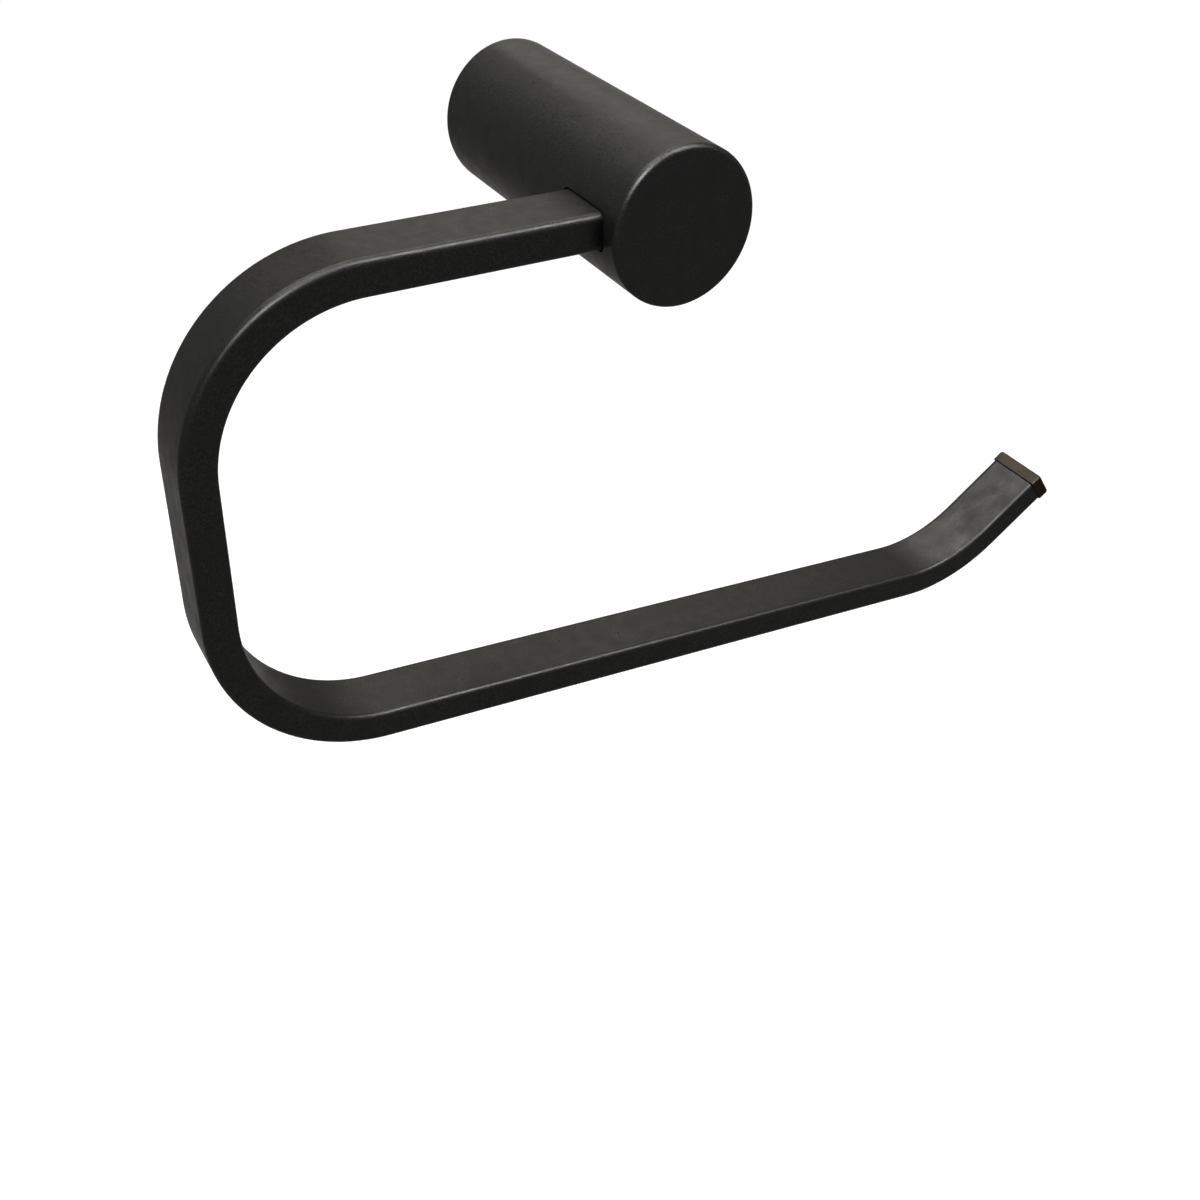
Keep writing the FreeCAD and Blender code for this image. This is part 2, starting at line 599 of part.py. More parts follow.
def make_end_cap(doc, size, layout):
    """The moulded cap: a flange over the tube's end and a hollow ribbed plug inside it."""
    body = add_body(doc, "end_cap")
    body.Placement.Rotation = FreeCAD.Rotation(FreeCAD.Vector(0, -1, 0), layout.tip_heading)
    body.setExpression("Placement.Base.x", "Layout.tip_x")
    body.setExpression("Placement.Base.y", "-Layout.ring_offset")
    body.setExpression("Placement.Base.z", "Layout.tip_z")
    body.setExpression("Placement.Rotation.Angle", "Layout.tip_heading")

    overhang, outer_face = size("cap_overhang"), size("cap_thickness")
    outline = add_sketch(body, "FlangeOutline", "YZ_Plane")
    add_rectangle(
        outline,
        (size("tube_width") + 2 * overhang, "Sizes.tube_width + 2 * Sizes.cap_overhang"),
        (size("tube_thickness") + 2 * overhang, "Sizes.tube_thickness + 2 * Sizes.cap_overhang"),
    )
    flange = pad(body, outline, "Flange", "Sizes.cap_thickness")
    worn = edges_where(flange.Shape, lambda edge: is_across(edge, outer_face) or is_along(edge))
    round_edges(body, flange, worn, "Sizes.cap_edge_radius")

    gap = size("cap_plug_gap")
    plug = add_sketch(body, "PlugSection", "YZ_Plane")
    add_rounded_rectangle(
        plug,
        (layout.inner_width - 2 * gap, "Layout.inner_width - 2 * Sizes.cap_plug_gap"),
        (layout.inner_height - 2 * gap, "Layout.inner_height - 2 * Sizes.cap_plug_gap"),
        (size("cap_plug_corner"), "Sizes.cap_plug_corner"),
    )
    pad(body, plug, "Plug", "Sizes.cap_plug_length", reverse=True)

    rib_height = layout.inner_height - 2 * size("cap_rib_gap")
    rib = add_sketch(body, "RibSection", "YZ_Plane")
    rib.setExpression("AttachmentOffset.Base.x", f"-Sizes.cap_rib_pitch * {(RIBS - 1) / 2}")
    add_rectangle(
        rib,
        (size("cap_rib_width"), "Sizes.cap_rib_width"),
        (rib_height, "Layout.inner_height - 2 * Sizes.cap_rib_gap"),
    )
    raised = pad(body, rib, "Rib", "Sizes.cap_plug_length - Sizes.cap_rib_lead", reverse=True)
    ribs = body.newObject("PartDesign::LinearPattern", "Ribs")
    ribs.Originals = [raised]
    ribs.Direction = (rib, ["H_Axis"])
    ribs.setExpression("Length", f"Sizes.cap_rib_pitch * {RIBS - 1}")
    ribs.Occurrences = RIBS
    body.Tip = ribs
    doc.recompute()

    trim = gap + size("cap_plug_wall")
    taken = "2 * Sizes.cap_plug_gap - 2 * Sizes.cap_plug_wall"
    hollow = add_sketch(body, "PlugHollow", "YZ_Plane", "-Sizes.cap_plug_length")
    add_rectangle(
        hollow,
        (layout.inner_width - 2 * trim, f"Layout.inner_width - {taken}"),
        (layout.inner_height - 2 * trim, f"Layout.inner_height - {taken}"),
    )
    pocket(body, hollow, "Hollow", "Sizes.cap_plug_length", reverse=True)
    return body


PIECES = (
    make_post,
    make_ring_tube,
    make_arm_insert,
    make_arm_washer,
    make_arm_screw,
    make_wall_bracket,
    make_grub_screw,
    make_end_cap,
)


def check(doc, bodies):
    """Stops before anything is written if a feature failed or a piece isn't one sound solid."""
    for item in doc.Objects:
        if "Invalid" in item.State or "Error" in item.State:
            raise RuntimeError(f"{item.Name} failed: {item.State}")
    for body in bodies:
        shape = body.Shape
        if shape.isNull() or not shape.isValid() or len(shape.Solids) != 1:
            raise RuntimeError(f"{body.Label} isn't one valid solid")


def main():
    """Builds the document, checks it and writes one file for each piece."""
    doc = FreeCAD.newDocument("TowelRing")
    sheet = make_sheet(doc)
    layout = make_layout(doc)
    bodies = [make(doc, sheet.get, layout) for make in PIECES]
    doc.recompute()
    check(doc, bodies)
    os.makedirs("parts", exist_ok=True)
    for body in bodies:
        body.Shape.exportStep(os.path.join("parts", f"{body.Label}.step"))
        print(f"{body.Label}: {body.Shape.Volume:.1f} mm3")


main()
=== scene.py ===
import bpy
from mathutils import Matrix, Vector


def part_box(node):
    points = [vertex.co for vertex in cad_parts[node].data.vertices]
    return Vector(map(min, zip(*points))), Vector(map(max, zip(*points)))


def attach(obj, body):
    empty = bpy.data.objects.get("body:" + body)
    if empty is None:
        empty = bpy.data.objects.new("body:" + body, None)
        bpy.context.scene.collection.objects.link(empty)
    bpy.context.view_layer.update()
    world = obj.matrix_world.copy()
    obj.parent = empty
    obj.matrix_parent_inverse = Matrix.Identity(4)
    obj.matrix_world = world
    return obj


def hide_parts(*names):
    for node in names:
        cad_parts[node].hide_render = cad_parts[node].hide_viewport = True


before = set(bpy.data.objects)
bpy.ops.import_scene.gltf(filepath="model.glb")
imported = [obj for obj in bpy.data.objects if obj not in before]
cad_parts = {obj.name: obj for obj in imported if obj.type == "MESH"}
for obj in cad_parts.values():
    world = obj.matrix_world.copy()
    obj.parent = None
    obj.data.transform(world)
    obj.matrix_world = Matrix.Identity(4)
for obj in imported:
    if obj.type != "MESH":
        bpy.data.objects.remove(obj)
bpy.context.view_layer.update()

# Open towel ring on a round wall post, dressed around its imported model.
# Metres. +Z up, +X to the right along the wall, +Y into the wall; the wall's face is the plane Y = 0.

import logging
import math
from abc import ABC, abstractmethod
from collections.abc import Callable, Iterable, Iterator, Sequence
from contextlib import contextmanager
from dataclasses import dataclass
from enum import Enum

import bmesh
import bpy
from mathutils import Matrix, Vector

LOG = logging.getLogger("towel_ring")

MM = 0.001
BODY = "root"
SMOOTH_BELOW = math.radians(32)
MERGE = 0.001 * MM
CUTTER_SPARE = 2 * MM
ORIGIN = Vector((0, 0, 0)).freeze()
OFF_WALL = Vector((0, -1, 0))
DOWN = Vector((0, 0, -1))
HIDDEN_FIXINGS = ("arm_insert", "arm_washer", "arm_screw")

Colour = tuple[float, float, float]
Place = tuple[float, float, float]
Span = tuple[float, float]
Outline = list[tuple[float, float]]
Ring = list[Vector]
Piece = bpy.types.Object
Mesh = bpy.types.Mesh
Material = bpy.types.Material
Socket = bpy.types.NodeSocket
Surface = tuple[Socket, Socket, Socket]
Value = float | int | bool | Sequence[float] | Socket | Material
Inputs = dict[str | int, Value]

WHITE: Colour = (1.0, 1.0, 1.0)
WARM: Colour = (1.0, 0.97, 0.93)


class Slot(Enum):
    """The record's material slots, by name; the pieces here take their finishes from the Finish objects, not
    from these.
    """

    POST = "post_coat"
    RING = "ring_coat"
    CAP = "cap_plastic"
    PLATED = "plated_steel"
    BLACKED = "black_steel"


class Combining(Enum):
    """Ways to put a closed shape and a piece together, by Blender's name."""

    CUT = "DIFFERENCE"
    FUSE = "UNION"


# ---- wiring of node trees


class Graph:
    """A node tree that is being wired."""

    def __init__(self, tree: bpy.types.NodeTree) -> None:
        """Empties a tree.

        Args:
            tree: the shader or geometry tree to fill.
        """
        self.tree = tree
        tree.nodes.clear()

    def add(self, kind: str, inputs: Inputs | None = None, **settings: object) -> bpy.types.Node:
        """Adds one node.

        Args:
            kind: Blender's name for the node.
            inputs: a socket or a value for each input that isn't left as it is; a colour has three numbers.
            settings: the node's own options.

        Returns:
            The new node.
        """
        made = self.tree.nodes.new(kind)
        for name, value in settings.items():
            setattr(made, name, value)
        for key, value in (inputs or {}).items():
            socket = made.inputs[key]
            if isinstance(value, Socket):
                self.tree.links.new(value, socket)
            else:
                socket.default_value = (*value, 1.0) if socket.type == "RGBA" else value
        return made

    def value(self, kind: str, inputs: Inputs | None = None, **settings: object) -> Socket:
        """Adds one node, as add does, and returns its first output."""
        return self.add(kind, inputs, **settings).outputs[0]

    def math(self, operation: str, *terms: Value) -> Socket:
        """Adds a Math node and returns its result."""
        return self.value("ShaderNodeMath", dict(enumerate(terms)), operation=operation)


class GeometryTree(Graph):
    """A Geometry Nodes tree with named inputs, which ends in one material."""

    def __init__(self, name: str, sizes: dict[str, float]) -> None:
        """Starts the tree.

        Args:
            name: the tree's name.
            sizes: its named size inputs, each with its value.
        """
        super().__init__(bpy.data.node_groups.new(name, "GeometryNodeTree"))
        self.sizes = sizes
        self.declare("Geometry", "NodeSocketGeometry")
        self.keys = {size: self.declare(size, "NodeSocketFloat") for size in sizes}
        self.finish_key = self.declare("Finish", "NodeSocketMaterial")
        self.tree.interface.new_socket("Geometry", in_out="OUTPUT", socket_type="NodeSocketGeometry")
        self.given = self.tree.nodes.new("NodeGroupInput").outputs

    def declare(self, name: str, kind: str) -> str:
        """Adds a named input and returns its identifier."""
        return self.tree.interface.new_socket(name, in_out="INPUT", socket_type=kind).identifier

    def join(self, parts: Iterable[Socket]) -> Socket:
        """Joins geometries.

        Args:
            parts: the geometries.

        Returns:
            All of them as one.
        """
        joined = self.add("GeometryNodeJoinGeometry")
        for part in parts:
            self.tree.links.new(part, joined.inputs[0])
        return joined.outputs[0]

    def close(self, geometry: Socket) -> None:
        """Ends the tree in Realize Instances and Set Material.

        Args:
            geometry: what the tree has made.
        """
        real = self.value("GeometryNodeRealizeInstances", {"Geometry": geometry})
        dressed = self.value("GeometryNodeSetMaterial", {"Geometry": real, "Material": self.given["Finish"]})
        self.add("NodeGroupOutput", {0: dressed})

    def apply(self, piece: Piece, finish: Material) -> None:
        """Runs the tree on a piece and leaves the result as its plain mesh.

        Args:
            piece: the object whose mesh the tree starts from.
            finish: the material that the tree sets.
        """
        modifier = piece.modifiers.new(self.tree.name, "NODES")
        modifier.node_group = self.tree
        for size, value in self.sizes.items():
            modifier[self.keys[size]] = value
        modifier[self.finish_key] = finish
        bake_modifiers(piece)


class ShaderGraph(Graph):
    """The tree of a material or of the world, with the patterns that the finishes are made of."""

    def __init__(self, owner: Material | bpy.types.World) -> None:
        """Empties the owner's tree.

        Args:
            owner: the material or the world.
        """
        owner.use_nodes = True
        super().__init__(owner.node_tree)

    def place(self) -> Socket:
        """Object coordinates, in metres."""
        return self.add("ShaderNodeTexCoord").outputs["Object"]

    def length(self, vector: Socket) -> Socket:
        """The length of a vector."""
        return self.add("ShaderNodeVectorMath", {0: vector}, operation="LENGTH").outputs["Value"]

    def noise(self, size: float, detail: float) -> Socket:
        """Noise from 0 to 1 on object coordinates, by its grain in metres and its number of finer layers."""
        return self.value("ShaderNodeTexNoise", {"Vector": self.place(), "Scale": 1 / size, "Detail": detail})

    def spread(self, noise: Socket, onto: Span = (0.0, 1.0), within: Span = (0.3, 0.7)) -> Socket:
        """Maps the part of a noise that counts on to a range."""
        ends = {"From Min": within[0], "From Max": within[1], "To Min": onto[0], "To Max": onto[1]}
        return self.value("ShaderNodeMapRange", {"Value": noise, **ends})

    def blend(self, share: Socket, first: Value, second: Value) -> Socket:
        """Mixes two colours by the share of the second."""
        return self.add("ShaderNodeMix", {0: share, 6: first, 7: second}, data_type="RGBA").outputs[2]

    def bump(self, height: Socket, depth: float, under: Socket | None = None) -> Socket:
        """Raises the surface by a height map.

        Args:
            height: the map, from 0 to 1.
            depth: its full depth in metres.
            under: the normal of a coarser bump beneath it.

        Returns:
            The bumped normal.
        """
        inputs: Inputs = {"Height": height, "Strength": 1.0, "Distance": depth}
        if under is not None:
            inputs["Normal"] = under
        return self.value("ShaderNodeBump", inputs)

    def seen(self) -> Socket:
        """1 for rays from the camera, a gloss or a glass, and 0 for rays that only carry light."""
        rays = self.add("ShaderNodeLightPath").outputs
        either = self.math("MAXIMUM", rays["Is Camera Ray"], rays["Is Glossy Ray"])
        return self.math("MAXIMUM", either, rays["Is Transmission Ray"])


# ---- meshes


def new_piece(name: str, mesh: Mesh) -> Piece:
    """Puts a mesh in the scene at the origin.

    Args:
        name: the piece's name.
        mesh: its mesh, already in place.

    Returns:
        The new object.
    """
    mesh.name = name
    piece = bpy.data.objects.new(name, mesh)
    bpy.context.scene.collection.objects.link(piece)
    return piece


def bake_modifiers(piece: Piece) -> None:
    """Replaces a piece's mesh with the result of its modifiers and removes them.

    Args:
        piece: the object to settle.
    """
    bpy.context.view_layer.update()
    evaluated = piece.evaluated_get(bpy.context.evaluated_depsgraph_get())
    result = bpy.data.meshes.new_from_object(evaluated)
    result.name = piece.name
    piece.modifiers.clear()
    piece.data = result


@contextmanager
def edited(mesh: Mesh) -> Iterator[bmesh.types.BMesh]:
    """Opens a mesh for editing and writes it back at the end.

    Args:
        mesh: the mesh to edit.

    Yields:
        Its editable shape.
    """
    shape = bmesh.new()
    shape.from_mesh(mesh)
    yield shape
    shape.to_mesh(mesh)
    shape.free()


def mesh_from(rings: Sequence[Ring]) -> Mesh:
    """Joins rings of points into a closed skin, with a flat face over each end that isn't a pole.

    Args:
        rings: the rings in order, each with the same number of points, or with one for a pole.

    Returns:
        The mesh, its normals turned outwards.
    """
    mesh = bpy.data.meshes.new("skin")
    with edited(mesh) as shape:
        rows = [[shape.verts.new(point) for point in ring] for ring in rings]
        for near, far in zip(rows, rows[1:]):
            count = max(len(near), len(far))
            for step in range(count):
                after = (step + 1) % count
                corners = [near[step % len(near)], near[after % len(near)]]
                corners += [far[after % len(far)], far[step % len(far)]]
                shape.faces.new(list(dict.fromkeys(corners)))
        for end in (rows[0], rows[-1]):
            if len(end) > 1:
                shape.faces.new(end)
        bmesh.ops.recalc_face_normals(shape, faces=shape.faces)
    return mesh


def along_axis(axis: Vector, origin: Vector) -> Matrix:
    """Where a shape goes whose Z is to run along an axis from an origin."""
    return Matrix.Translation(origin) @ axis.to_track_quat("Z", "Y").to_matrix().to_4x4()


def circle(place: Matrix, radius: Callable[[float], float] | float, along: float, sides: int) -> Ring:
    """A ring of points round an axis.

    Args:
        place: where the axis is.
        radius: the radius, or the rule that gives it for a share of a full turn.
        along: distance along the axis.
        sides: how many points.

    Returns:
        The points, in place.
    """
    points = []
    for step in range(sides):
        share = step / sides
        turn = share * math.tau
        out = radius(share) if callable(radius) else radius
        points.append(place @ Vector((out * math.cos(turn), out * math.sin(turn), along)))
    return points


def turned(outline: Outline, segments: int, axis: Vector, origin: Vector = ORIGIN) -> Mesh:
    """A solid turned round an axis, as on a lathe.

    Args:
        outline: radius and distance along the axis, from the axis round to the axis again.
        segments: sides of each ring.
        axis: unit direction of the axis.
        origin: the point of the axis that distances count from.

    Returns:
        The closed mesh.
    """
    place = along_axis(axis, origin)
    rings = [circle(place, radius, along, segments if radius > MERGE else 1) for radius, along in outline]
    return mesh_from(rings)


def softened(outline: Outline, radius: float, steps: int = 3, longest: float = 0.4) -> Outline:
    """Rounds every corner of an open outline a little, as a coat of paint or a deburring tool does.

    Args:
        outline: the sharp outline.
        radius: how far along each side the rounding starts.
        steps: straight pieces in each rounding.
        longest: the share of a side that one rounding may take.

    Returns:
        The outline with its corners rounded; its two ends stay.
    """
    points = [Vector(point) for point in outline]
    rounded = [points[0]]
    for before, corner, after in zip(points, points[1:], points[2:]):
        reach = min(radius, (before - corner).length * longest, (after - corner).length * longest)
        start = corner + (before - corner).normalized() * reach
        end = corner + (after - corner).normalized() * reach
        for step in range(steps + 1):
            share = step / steps
            rounded.append(start.lerp(corner, share).lerp(corner.lerp(end, share), share))
    rounded.append(points[-1])
    return [(point.x, point.y) for point in rounded]


def close_slivers(piece: Piece) -> None:
    """Merges the doubles and dissolves the faces without area that a Boolean leaves.

    Args:
        piece: the solid that was combined.
    """
    with edited(piece.data) as shape:
        bmesh.ops.remove_doubles(shape, verts=shape.verts, dist=MERGE)
        bmesh.ops.dissolve_degenerate(shape, dist=MERGE, edges=shape.edges)
        bmesh.ops.recalc_face_normals(shape, faces=shape.faces)


def combine(piece: Piece, shapes: Sequence[Piece], how: Combining) -> None:
    """Cuts closed shapes out of a piece or fuses them on to it, and removes them.

    Args:
        piece: the solid that stays.
        shapes: the closed shapes.
        how: what is done with them.
    """
    for shape in shapes:
        step = piece.modifiers.new(how.name.lower(), "BOOLEAN")
        step.operation = how.value
        step.solver = "EXACT"
        step.object = shape
        bake_modifiers(piece)
        bpy.data.objects.remove(shape)
        close_slivers(piece)


def shade(piece: Piece) -> None:
    """Smooth shading that keeps flat faces flat: sharp past an angle, and each normal led by the larger faces.

    Args:
        piece: the finished solid.
    """
    mesh = piece.data
    mesh.polygons.foreach_set("use_smooth", [True] * len(mesh.polygons))
    mesh.set_sharp_from_angle(angle=SMOOTH_BELOW)
    led = piece.modifiers.new("led", "WEIGHTED_NORMAL")
    led.mode = "FACE_AREA"
    led.keep_sharp = True
    led.weight = 100
    bake_modifiers(piece)


def dress(piece: Piece, finish: Material, node: str) -> None:
    """Shades a finished piece, gives it its material and its body, and hides the CAD node that it stands for.

    Args:
        piece: the finished solid, in place.
        finish: its material.
        node: the CAD node that it hides.
    """
    shade(piece)
    piece.data.materials.clear()
    piece.data.materials.append(finish)
    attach(piece, BODY)
    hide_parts(node)
    LOG.info("%s: %d faces", piece.name, len(piece.data.polygons))


def dress_node(node: str, finish: Material) -> None:
    """Gives a CAD node that stays in the scene its finish.

    Args:
        node: the node's name.
        finish: its material.
    """
    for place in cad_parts[node].material_slots:
        place.material = finish
    LOG.info("%s keeps its packed mesh", node)


# ---- finishes


@dataclass(frozen=True)
class Finish(ABC):
    """What the finishes share: one shader, with a tint at grazing angles and patterns on its surface."""

    name: str
    colour: Colour
    fleck: Colour
    roughness: Span
    metallic: float = 1.0
    grazing: Colour = WHITE

    @abstractmethod
    def patterns(self, graph: ShaderGraph) -> Surface:
        """Wires what varies over the surface.

        Args:
            graph: the material's graph.

        Returns:
            The colour, the roughness and the normal.
        """

    def build(self) -> Material:
        """Makes the material.

        Returns:
            The finished material.
        """
        material = bpy.data.materials.new(self.name)
        graph = ShaderGraph(material)
        colour, roughness, normal = self.patterns(graph)
        varied = {"Base Color": colour, "Roughness": roughness, "Normal": normal}
        even = {"Metallic": self.metallic, "Specular IOR Level": 0.0, "Specular Tint": self.grazing}
        shader = graph.value("ShaderNodeBsdfPrincipled", {**varied, **even})
        graph.add("ShaderNodeOutputMaterial", {"Surface": shader})
        return material


@dataclass(frozen=True)
class PowderCoat(Finish):
    """Satin black powder coat: a faint orange peel under a very fine grain."""

    roughness: Span = (0.295, 0.405)
    metallic: float = 0.42
    grazing: Colour = (0.62, 0.612, 0.59)
    fleck_within: Span = (0.4, 0.75)
    grain_roughness: Span = (-0.05, 0.05)
    peel: float = 1.6 * MM
    peel_depth: float = 0.006 * MM
    grain: float = 0.3 * MM
    grain_depth: float = 0.006 * MM
    cloud: float = 3.5 * MM
    cloud_cover: float = 0.8

    def patterns(self, graph: ShaderGraph) -> Surface:
        """Wires flecks under clouds, and the grain on the orange peel.

        Args:
            graph: the material's graph.

        Returns:
            The colour, the roughness and the normal.
        """
        grain = graph.noise(self.grain, detail=3.0)
        cloud = graph.noise(self.cloud, detail=5.0)
        flecked = graph.blend(graph.spread(grain, within=self.fleck_within), self.colour, self.fleck)
        colour = graph.blend(graph.spread(cloud, (0.0, self.cloud_cover)), flecked, self.colour)
        clouded, grained = graph.spread(cloud, self.roughness), graph.spread(grain, self.grain_roughness)
        peel = graph.bump(graph.noise(self.peel, detail=1.0), self.peel_depth)
        return colour, graph.math("ADD", clouded, grained), graph.bump(grain, self.grain_depth, peel)


@dataclass(frozen=True)
class Grained(Finish):
    """An even finish with one fine grain, as a moulding or a small screw has, and a gloss that varies too."""

    grain: float = 0.35 * MM
    grain_depth: float = 0.004 * MM
    grain_detail: float = 4.0
    gloss: float = 0.35 * MM
    gloss_detail: float = 4.0

    def patterns(self, graph: ShaderGraph) -> Surface:
        """Wires the grain, and the noise of the gloss.

        Args:
            graph: the material's graph.

        Returns:
            The colour, the roughness and the normal.
        """
        grain = graph.noise(self.grain, self.grain_detail)
        colour = graph.blend(graph.spread(grain), self.colour, self.fleck)
        roughness = graph.spread(graph.noise(self.gloss, self.gloss_detail), self.roughness)
        return colour, roughness, graph.bump(grain, self.grain_depth)


@dataclass(frozen=True)
class PlatedSteel(Finish):
    """Turned and zinc-plated steel: fine tool rings round the post's axis under a cloudy plate."""

    ring_pitch: float = 0.6 * MM
    ring_depth: float = 0.022 * MM
    cloud: float = 4 * MM

    def patterns(self, graph: ShaderGraph) -> Surface:
        """Wires the clouds, and the tool rings as a wave on the distance from the post's axis.

        Args:
            graph: the material's graph.

        Returns:
            The colour, the roughness and the normal.
        """
        parts = graph.add("ShaderNodeSeparateXYZ", {0: graph.place()}).outputs
        off_axis = graph.length(graph.value("ShaderNodeCombineXYZ", {"X": parts["X"], "Y": parts["Z"]}))
        wave = graph.math("SINE", graph.math("MULTIPLY", off_axis, math.tau / self.ring_pitch))
        ridges = graph.math("MULTIPLY_ADD", wave, 0.5, 0.5)
        cloud = graph.noise(self.cloud, detail=4.0)
        colour = graph.blend(graph.spread(cloud), self.colour, self.fleck)
        return colour, graph.spread(cloud, self.roughness), graph.bump(ridges, self.ring_depth)


POST_COAT = PowderCoat("post_powder_coat", (0.0172, 0.0172, 0.0167), (0.036, 0.0358, 0.0347))
RING_COAT = PowderCoat("ring_powder_coat", (0.0157, 0.0156, 0.015), (0.0328, 0.0325, 0.0312))
CAP_PLASTIC = Grained(
    "cap_moulding",
    colour=(0.0126, 0.0106, 0.0085),
    fleck=(0.0182, 0.0155, 0.0124),
    roughness=(0.31, 0.41),
    metallic=0.5,
    grazing=(0.49, 0.458, 0.405),
    grain=0.16 * MM,
    grain_depth=0.008 * MM,
    grain_detail=2.0,
    gloss=5 * MM,
    gloss_detail=2.0,
)
ZINC_PLATE = PlatedSteel("bracket_zinc_plate", (0.47, 0.48, 0.495), (0.31, 0.32, 0.315), (0.28, 0.44))
BLACK_OXIDE = Grained("grub_black_oxide", (0.045, 0.045, 0.047), (0.075, 0.073, 0.07), (0.31, 0.44))
BRIGHT_STEEL = Grained("fixing_bright_steel", (0.6, 0.6, 0.6), (0.5, 0.5, 0.49), (0.25, 0.38))


# ---- the pieces


def quarter(steps: int) -> list[float]:
    """The angles of a quarter turn cut into steps, from 0 to a right angle."""
    return [math.pi / 2 * step / steps for step in range(steps + 1)]


def rounded_rectangle(half_width: float, half_height: float, corner: float, steps: int = 6) -> Ring:
    """Points round a rectangle with round corners, the same number for any radius.

    Args:
        half_width: half its size along X.
        half_height: half its size along Y.
        corner: the radius of its corners.
        steps: pieces in each corner.

    Returns:
        The points, counter-clockwise.
    """
    outline = []
    for turn, (side, up) in enumerate(((1, 1), (-1, 1), (-1, -1), (1, -1))):
        centre = Vector((side * (half_width - corner), up * (half_height - corner)))
        for angle in quarter(steps):
            heading = angle + turn * math.pi / 2
            outline.append(centre + corner * Vector((math.cos(heading), math.sin(heading))))
    return outline


@dataclass(frozen=True)
class WallPost:
    """The turned post: closed in front, bored from the wall side, with a recess in its side for the arm."""

    radius: float
    length: float
    ring_plane: float
    tube_width: float
    tube_thickness: float
    front_chamfer: float = 0.8 * MM
    back_chamfer: float = 0.4 * MM
    coat_softening: float = 0.25 * MM
    rim_softening: float = 0.5 * MM
    rim_steps: int = 6
    wall: float = 2.8 * MM
    web: float = 5 * MM
    recess_clearance: float = 0.25 * MM
    recess_reach: float = 7.25 * MM
    recess_corner: float = 1.5 * MM
    mouth_flare: float = 0.3 * MM
    mouth_depth: float = 0.75 * MM
    passage_radius: float = 2.25 * MM
    passage_segments: int = 48
    grub_hole_radius: float = 2.55 * MM
    grub_hole_flare: float = 0.6 * MM
    grub_hole_segments: int = 64
    grub_offset: float = 6 * MM
    segments: int = 256

    @property
    def floor(self) -> float:
        """How far off the wall the bore ends."""
        return -self.ring_plane - self.tube_width / 2 - self.recess_clearance - self.web

    def blank(self) -> Mesh:
        """The post as it leaves the lathe.

        Returns:
            The closed mesh.
        """
        bore = self.radius - self.wall
        sharp = [
            (0, self.length),
            (self.radius - self.front_chamfer, self.length),
            (self.radius, self.length - self.front_chamfer),
            (self.radius, self.back_chamfer),
            (self.radius - self.back_chamfer, 0),
            (bore + self.back_chamfer, 0),
            (bore, self.back_chamfer),
            (bore, self.floor),
            (0, self.floor),
        ]
        rim = softened(sharp[:4], self.rim_softening, self.rim_steps)
        return turned(rim[:-1] + softened(sharp[3:], self.coat_softening), self.segments, OFF_WALL)

    def recess(self) -> Mesh:
        """The slot that the arm goes into, from outside the post to just past its axis.

        Returns:
            The closed shape to cut away.
        """
        rings = []
        for x, flare in (
            (-2 * self.radius, self.mouth_flare),
            (-self.radius, self.mouth_flare),
            (-self.radius + self.mouth_depth, 0.0),
            (self.recess_reach, 0.0),
        ):
            half_width = self.tube_width / 2 + self.recess_clearance + flare
            half_height = self.tube_thickness / 2 + self.recess_clearance + flare
            outline = rounded_rectangle(half_width, half_height, self.recess_corner + flare)
            rings.append([Vector((x, self.ring_plane + point.x, point.y)) for point in outline])
        return mesh_from(rings)

    def passage(self) -> Mesh:
        """The arm screw's way through the web between the bore and the recess.

        Returns:
            The closed shape to cut away.
        """
        start, end = self.floor - self.web, self.floor + self.web + self.recess_clearance
        outline = [(0, start), (self.passage_radius, start), (self.passage_radius, end), (0, end)]
        return turned(outline, self.passage_segments, OFF_WALL)

    def grub_hole(self) -> Mesh:
        """The grub screw's hole in the underside, flared at its mouth.

        Returns:
            The closed shape to cut away.
        """
        flared = self.grub_hole_radius + self.grub_hole_flare
        outline = [
            (0, 0),
            (self.grub_hole_radius, 0),
            (self.grub_hole_radius, self.radius - self.grub_hole_flare),
            (flared, self.radius),
            (flared, self.radius + CUTTER_SPARE),
            (0, self.radius + CUTTER_SPARE),
        ]
        return turned(outline, self.grub_hole_segments, DOWN, Vector((0, -self.grub_offset, 0)))

    def build(self) -> None:
        """Turns the post, cuts its recess and holes and paints it."""
        post = new_piece("post_shell", self.blank())
        cutters = [new_piece("cutter", mesh) for mesh in (self.recess(), self.passage(), self.grub_hole())]
        combine(post, cutters, Combining.CUT)
        dress(post, POST_COAT.build(), "post")


